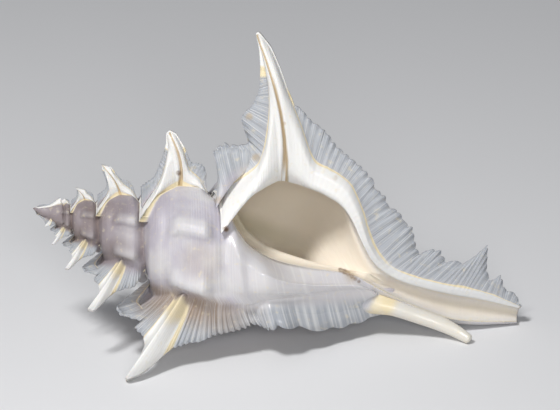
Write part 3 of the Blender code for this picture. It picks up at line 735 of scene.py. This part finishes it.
def stub_mesh():
    """The older canal, a tapered and slightly bent tube, closed at its worn tip."""
    keys = [(k / (len(STUB) - 1),) + point for k, point in enumerate(STUB)]
    whole_rings = STUB_RINGS + 1 - len(STUB_TIP)
    around_step, along_step = STUB_GRAIN

    def around(i, j):
        x, y, z, radius = curve(keys, min(j / whole_rings, 1.0))
        closing = max(j - whole_rings, 0)
        radius *= STUB_TIP[closing]
        x += STUB_TIP_STEP * closing
        turn = radians(TURN * i / STUB_SIDES)
        return Vector((x + STUB_SLANT * radius * cos(turn), y + radius * cos(turn), z + radius * sin(turn)))

    def form(i, j):
        """Form of the base at its root and of a cord further out, with a thin smooth layer over both."""
        grown_out = ramp(*STUB_BARE, j)
        return 0.25 * (1 - grown_out), 0.9 * grown_out, -0.25, 0.0

    grid = bent_grid(STUB_SIDES, STUB_RINGS, around, form, lambda i, j: (i * around_step, j * along_step))
    return joined([grid], weld=2e-6)


def laying():
    """The turn and move that lay the shell down, with the middle of its underside at the origin."""
    near, far, canal = (Vector(foot) for foot in FEET)
    up = (canal - near).cross(far - near).normalized()
    along = (Vector((1.0, 0.0, 0.0)) - up * up.x).normalized()
    turn = Matrix((along, up.cross(along), up)).to_4x4()
    return Matrix.Translation(-Vector(LAID_AT) * MM) @ turn


def added(name, mesh):
    bmesh.ops.transform(mesh, matrix=laying(), verts=mesh.verts)
    for face in mesh.faces:
        face.smooth = True
    data = bpy.data.meshes.new(name)
    mesh.to_mesh(data)
    mesh.free()
    thing = bpy.data.objects.new(name, data)
    bpy.context.scene.collection.objects.link(thing)
    return thing


class Field:
    """A shader socket that can be reckoned with."""

    def __init__(self, tree, socket):
        self.tree, self.socket = tree, socket

    def reckon(self, operation, *others):
        node = self.tree.nodes.new("ShaderNodeMath")
        node.operation = operation
        for at, value in enumerate((self, *others)):
            plug(self.tree, node.inputs[at], value)
        return Field(self.tree, node.outputs[0])

    def __add__(self, other):
        return self.reckon("ADD", other)

    def __radd__(self, other):
        return self.reckon("ADD", other)

    def __mul__(self, other):
        return self.reckon("MULTIPLY", other)

    def __rmul__(self, other):
        return self.reckon("MULTIPLY", other)

    def __sub__(self, other):
        return self.reckon("SUBTRACT", other)

    def __rsub__(self, other):
        return (self * -1.0).reckon("ADD", other)

    def sine(self):
        return self.reckon("SINE")

    def between(self, low, high):
        """0 below low, 1 above high, and smooth between."""
        node = self.tree.nodes.new("ShaderNodeMapRange")
        node.interpolation_type = "SMOOTHSTEP"
        plug(self.tree, node.inputs["Value"], self)
        plug(self.tree, node.inputs["From Min"], low)
        plug(self.tree, node.inputs["From Max"], high)
        return Field(self.tree, node.outputs["Result"])

    def band(self, start, whole, fading, end):
        """0 outside start and end, 1 from whole to fading, and smooth between."""
        return self.between(start, whole) * (1.0 - self.between(fading, end))


def plug(tree, socket, value):
    if isinstance(value, Field):
        tree.links.new(value.socket, socket)
    else:
        socket.default_value = value


class Paint:
    """A material being made, one node at a time."""

    def __init__(self, name):
        self.material = bpy.data.materials.new(name)
        self.material.use_nodes = True
        self.tree = self.material.node_tree
        self.shader = self.tree.nodes["Principled BSDF"]

    def node(self, kind, settings=(), inputs=(), output=0):
        made = self.tree.nodes.new(kind)
        for name, value in dict(settings).items():
            setattr(made, name, value)
        for name, value in dict(inputs).items():
            plug(self.tree, made.inputs[name], value)
        return Field(self.tree, made.outputs[output])

    def mix(self, first, second, share):
        made = self.tree.nodes.new("ShaderNodeMix")
        made.data_type = "RGBA"
        made.clamp_factor = True
        plug(self.tree, made.inputs["Factor"], share)
        plug(self.tree, made.inputs["A"], first)
        plug(self.tree, made.inputs["B"], second)
        return Field(self.tree, made.outputs["Result"])

    def parts(self, vector, kind="ShaderNodeSeparateXYZ"):
        made = self.tree.nodes.new(kind)
        plug(self.tree, made.inputs[0], vector)
        return [Field(self.tree, made.outputs[k]) for k in range(3)]

    def noise(self, vector, scale, detail=3.0):
        return self.node("ShaderNodeTexNoise", (), {"Vector": vector, "Scale": scale, "Detail": detail})

    def stretched(self, vector, x, y, z):
        return self.node("ShaderNodeVectorMath", {"operation": "MULTIPLY"}, {0: vector, 1: (x, y, z)})

    def spot(self, place, centre, radius):
        """1 in the middle of a spot on the shell, in millimetres, and 0 outside it."""
        flat = self.stretched(place, 1.0, 1.0, 0.0)
        middle = (centre[0] / PLACE_UNIT, centre[1] / PLACE_UNIT, 0.0)
        away = self.node("ShaderNodeVectorMath", {"operation": "DISTANCE"}, {0: flat, 1: middle}, "Value")
        return 1.0 - away.between(0.3 * radius / PLACE_UNIT, radius / PLACE_UNIT)

    def set(self, name, value):
        plug(self.tree, self.shader.inputs[name], value)


# The shell's colours: its whorls, its fins and cords, its hollow, its stains, and the painted shade on the
# whorls and in the hollow
PORCELAIN = (0.69, 0.67, 0.67, 1.0)
LILAC = (0.47, 0.44, 0.52, 1.0)
DARK_TONE_AND_SHADE = (0.22, 0.17, 0.155, 1.0)
WHITE = (0.86, 0.85, 0.82, 1.0)
CREAM = (0.80, 0.69, 0.46, 1.0)
FIN = (0.38, 0.40, 0.435, 1.0)
BEIGE = (0.90, 0.81, 0.68, 1.0)
HOLLOW_SHADE = (0.60, 0.54, 0.41, 1.0)
SAND_AND_SHADE = (0.30, 0.22, 0.16, 1.0)
TAN = (0.47, 0.33, 0.15, 1.0)
BROWN = (0.16, 0.085, 0.035, 1.0)

# Painted shade on the whorls below their bumps, partly a sandy tone on the body's underside, and small marks, on
# the side that the eye sees: where each one is, as (x, y) on the shell's own axes, its radius, its colour and
# its strength
PAINTED_SHADE_SPOTS = (
    ((53.0, -4.5), 9.0, SAND_AND_SHADE, 0.34), ((54.0, -19.0), 6.5, SAND_AND_SHADE, 0.3), ((28.5, -7.5), 7.0, DARK_TONE_AND_SHADE, 0.5),
    ((17.0, -5.5), 4.0, DARK_TONE_AND_SHADE, 0.3),
)
MARKS = (
    ((58.3, 7.0), 1.4, BROWN, 0.95), ((94.4, 2.5), 1.1, BROWN, 0.9), ((95.6, 2.3), 1.2, BROWN, 0.95),
    ((96.8, 1.9), 1.1, BROWN, 0.9), ((98.0, 1.4), 1.0, BROWN, 0.8), ((99.2, 0.9), 0.9, BROWN, 0.7),
    ((100.4, 0.4), 0.8, BROWN, 0.6), ((97.5, 1.6), 3.0, TAN, 0.4), ((57.6, 41.0), 1.6, TAN, 0.5),
    ((62.2, 29.6), 1.8, TAN, 0.5), ((86.5, 29.0), 1.2, TAN, 0.35), ((54.2, 14.8), 1.6, TAN, 0.45),
    ((68.2, 41.3), 0.8, TAN, 0.5), ((40.7, 20.0), 1.1, BROWN, 0.85),
)


class Surface:
    """What the paint knows of a place on the shell: what it is part of, where it is, and the grain there."""

    def __init__(self, paint):
        form = paint.node("ShaderNodeAttribute", {"attribute_name": "form"}, (), "Color")
        self.fin, self.cord, self.depth = paint.parts(form, "ShaderNodeSeparateColor")
        self.groove = paint.node("ShaderNodeAttribute", {"attribute_name": "form"}, (), "Alpha")
        self.place = paint.node("ShaderNodeAttribute", {"attribute_name": "place"}, (), "Vector")
        self.x, self.y, self.z = paint.parts(self.place)
        growth = paint.node("ShaderNodeUVMap", {"uv_map": "growth"}, (), "UV")
        self.turned, self.edge, _ = paint.parts(growth)

        self.cloud = paint.noise(self.place, 9.0)
        self.fine = paint.noise(self.place, 60.0, 5.0)
        self.lines = paint.noise(paint.stretched(growth, 70.0, 0.9, 1.0), 1.0, 4.0)
        self.threads = paint.noise(paint.stretched(growth, 2.0, 26.0, 1.0), 1.0, 3.0)

        self.callus = (self.depth * -1.0).between(0.0, 0.8)
        self.deep = self.depth.between(0.0, 0.9)
        self.outside = 1.0 - self.depth.between(0.0, 0.25)
        self.bump = (self.groove * -1.0).between(0.0, 1.0)
        self.spire = 1.0 - self.x.between(0.14, 0.5)


def whorls(paint, on):
    """Lilac-grey over porcelain, darker up the spire, with painted shade in the sutures and below the bumps, and
    pale on the bumps.
    """
    tint = on.cloud.between(0.3, 0.62) * 0.7 + on.spire * 0.6
    colour = paint.mix(PORCELAIN, LILAC, tint * (1.0 - on.callus * 0.75))
    colour = paint.mix(colour, DARK_TONE_AND_SHADE, on.spire * (0.5 + 0.42 * on.cloud.between(0.2, 0.7)))
    colour = paint.mix(colour, WHITE, on.threads.between(0.5, 0.75) * 0.35 * (1.0 - on.spire))
    colour = paint.mix(colour, CREAM, on.lines.between(0.58, 0.8) * 0.25 * (1.0 - on.callus))
    colour = paint.mix(colour, WHITE, on.bump.between(0.1, 1.0) * (0.38 - on.spire * 0.3))
    # Painted shade below the bumps and on the lower sides of the whorls, with less of it on the bumps themselves
    for centre, radius, shade, strength in PAINTED_SHADE_SPOTS:
        share = paint.spot(on.place, centre, radius) * strength * (1.0 - on.bump * 0.6)
        colour = paint.mix(colour, shade, share * on.z.between(0.0, 0.1))
    # Painted shade along the sutures: below the upper one, and above the lower one on whorls a turn old or more
    suture = 1.0 - on.edge.between(0.0, 0.42)
    suture += on.edge.between(SUTURE_AT - 0.7, SUTURE_AT) * on.turned.between(0.96, 1.0)
    return paint.mix(colour, DARK_TONE_AND_SHADE, suture * (1.0 - on.callus) * (1.0 - on.depth.between(0.0, 0.2)) * 0.6)


def fins_and_cords(paint, on, colour):
    """Grey fins with white threads, a sandy tone with painted shade on the body's underside where they leave it,
    and cords edged with cream.
    """
    colour = paint.mix(colour, FIN, on.fin.between(0.06, 0.5))
    colour = paint.mix(colour, WHITE, on.threads.between(0.42, 0.7) * on.fin.between(0.1, 0.5) * 0.5)
    # A sandy tone with painted shade on the body's underside, below the lower bump, broken by the threads
    low = (on.y * -1.0).band(0.125, 0.16, 0.19, 0.27) * on.x.band(0.34, 0.42, 0.56, 0.8)
    sandy_shade = low * on.z.between(0.0, 0.1) * (1.0 - on.threads.between(0.4, 0.65) * 0.5)
    colour = paint.mix(colour, SAND_AND_SHADE, sandy_shade)
    colour = paint.mix(colour, WHITE, on.cord * 0.95)
    colour = paint.mix(colour, FIN, on.cord * on.x.between(0.95, 1.15) * 0.3)
    edging = (on.cord * (1.0 - on.cord) * 4.4).between(0.1, 0.9) * on.outside
    colour = paint.mix(colour, CREAM, edging * on.cloud.between(0.22, 0.48))
    colour = paint.mix(colour, CREAM, on.fine.between(0.57, 0.75) * 0.35)
    return paint.mix(colour, TAN, on.groove.between(0.1, 1.0) * 0.8)


def hollow_and_canal(paint, on, colour):
    """Beige inside, with painted shade deep in the hollow, more of it along the columella, and painted shade on
    the canal's floor from where it begins.
    """
    colour = paint.mix(colour, BEIGE, on.deep * 0.95)
    # Painted shade in the hollow, up to where the canal begins, and most of it along the columella
    columella = on.y + on.x * 0.155 - 0.1
    columella_shade = columella.band(0.045, 0.085, 0.095, 0.15) + 0.25
    colour = paint.mix(colour, HOLLOW_SHADE, on.deep * columella_shade * (1.0 - on.x.between(0.68, 0.9)) * 0.8)
    # Painted shade on the canal's floor
    return paint.mix(colour, HOLLOW_SHADE, on.deep * on.x.between(0.98, 1.12) * 0.65)


def marked(paint, on, colour):
    """The small brown and tan marks, each with a ragged edge."""
    for centre, radius, shade, strength in MARKS:
        mark = paint.spot(on.place, centre, radius) * strength * (0.5 + 0.5 * on.fine.between(0.3, 0.6))
        colour = paint.mix(colour, shade, mark * on.z.between(-0.06, 0.0))
    return colour


def relief(paint, on):
    """The fins' ribs, the threads and the growth lines, all absent from the inner lip, and a fine grain."""
    ribs = ((on.edge * (2 * pi * CM / RIB_SPACING)).sine() * 0.35 + on.threads * 1.3) * (on.fin * 0.9 + 0.14)
    height = ribs * (1.0 - on.callus) * (1.0 - on.deep) + on.lines * 0.35 * (1.0 - on.callus) + on.fine * 0.15
    raised = {"Strength": 0.55, "Distance": 0.0006, "Height": height}
    return paint.node("ShaderNodeBump", (), raised, "Normal")


def shell_paint():
    paint = Paint("shell")
    on = Surface(paint)
    colour = fins_and_cords(paint, on, whorls(paint, on))
    colour = marked(paint, on, hollow_and_canal(paint, on, colour))
    paint.set("Base Color", colour)
    paint.set("Roughness", 0.42 - on.callus * 0.22 + on.fin * 0.12 - on.deep * 0.1)
    paint.set("Coat Weight", on.callus * 0.35 + on.cord * 0.12)
    paint.set("Coat Roughness", 0.12)
    paint.set("Subsurface Weight", 0.12)
    paint.set("Subsurface Radius", (0.004, 0.003, 0.002))
    paint.set("Normal", relief(paint, on))
    return paint.material


def floor_paint():
    paint = Paint("floor")
    paint.set("Base Color", FLOOR_COLOUR)
    paint.set("Roughness", 0.8)
    return paint.material


def area_light(name, place, power, width):
    data = bpy.data.lights.new(name, "AREA")
    data.energy = power
    data.size = width
    light = bpy.data.objects.new(name, data)
    light.location = place
    light.rotation_euler = (Vector(AIM) - Vector(place)).to_track_quat("-Z", "Y").to_euler()
    bpy.context.scene.collection.objects.link(light)


def studio():
    floor_mesh = bmesh.new()
    bmesh.ops.create_grid(floor_mesh, x_segments=1, y_segments=1, size=FLOOR_SIZE)
    data = bpy.data.meshes.new("floor")
    floor_mesh.to_mesh(data)
    floor_mesh.free()
    floor = bpy.data.objects.new("floor", data)
    data.materials.append(floor_paint())
    bpy.context.scene.collection.objects.link(floor)
    floor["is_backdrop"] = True

    for light in LIGHTS:
        area_light(*light)
    bpy.context.scene.view_settings.view_transform = "Standard"
    world = bpy.data.worlds.new("studio")
    world.use_nodes = True
    room = world.node_tree.nodes["Background"]
    room.inputs["Color"].default_value = ROOM_COLOUR
    room.inputs["Strength"].default_value = ROOM_STRENGTH
    bpy.context.scene.world = world


def camera():
    """The photograph's view: along the shell's own Z, with the axis tilted as in the photograph."""
    along, across = TILT
    right, up = Vector((along, across, 0.0)), Vector((-across, along, 0.0))
    back = Vector((0.0, 0.0, 1.0))
    eye = Vector(MIDDLE) + back * EYE_DISTANCE
    stand = Matrix((right, up, back)).transposed().to_4x4()
    stand.translation = eye * MM
    data = bpy.data.cameras.new("photograph")
    data.sensor_width = 36.0
    data.lens = data.sensor_width * EYE_DISTANCE / (PHOTO_WIDTH * PIXEL)
    data.clip_end = 20.0
    thing = bpy.data.objects.new("photograph", data)
    thing.matrix_world = laying() @ stand
    bpy.context.scene.collection.objects.link(thing)
    bpy.context.scene.camera = thing


def main():
    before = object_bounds()
    shell_material = shell_paint()
    for thing in (added("whorls", shell_mesh()), added("older_canal", stub_mesh())):
        thing.data.materials.append(shell_material)
        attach(thing, "root")
        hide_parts("shell")
    studio()
    camera()
    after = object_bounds()
    {name: [list(corner) for corner in box] for name, box in (("cad", before), ("visual", after))}


main()
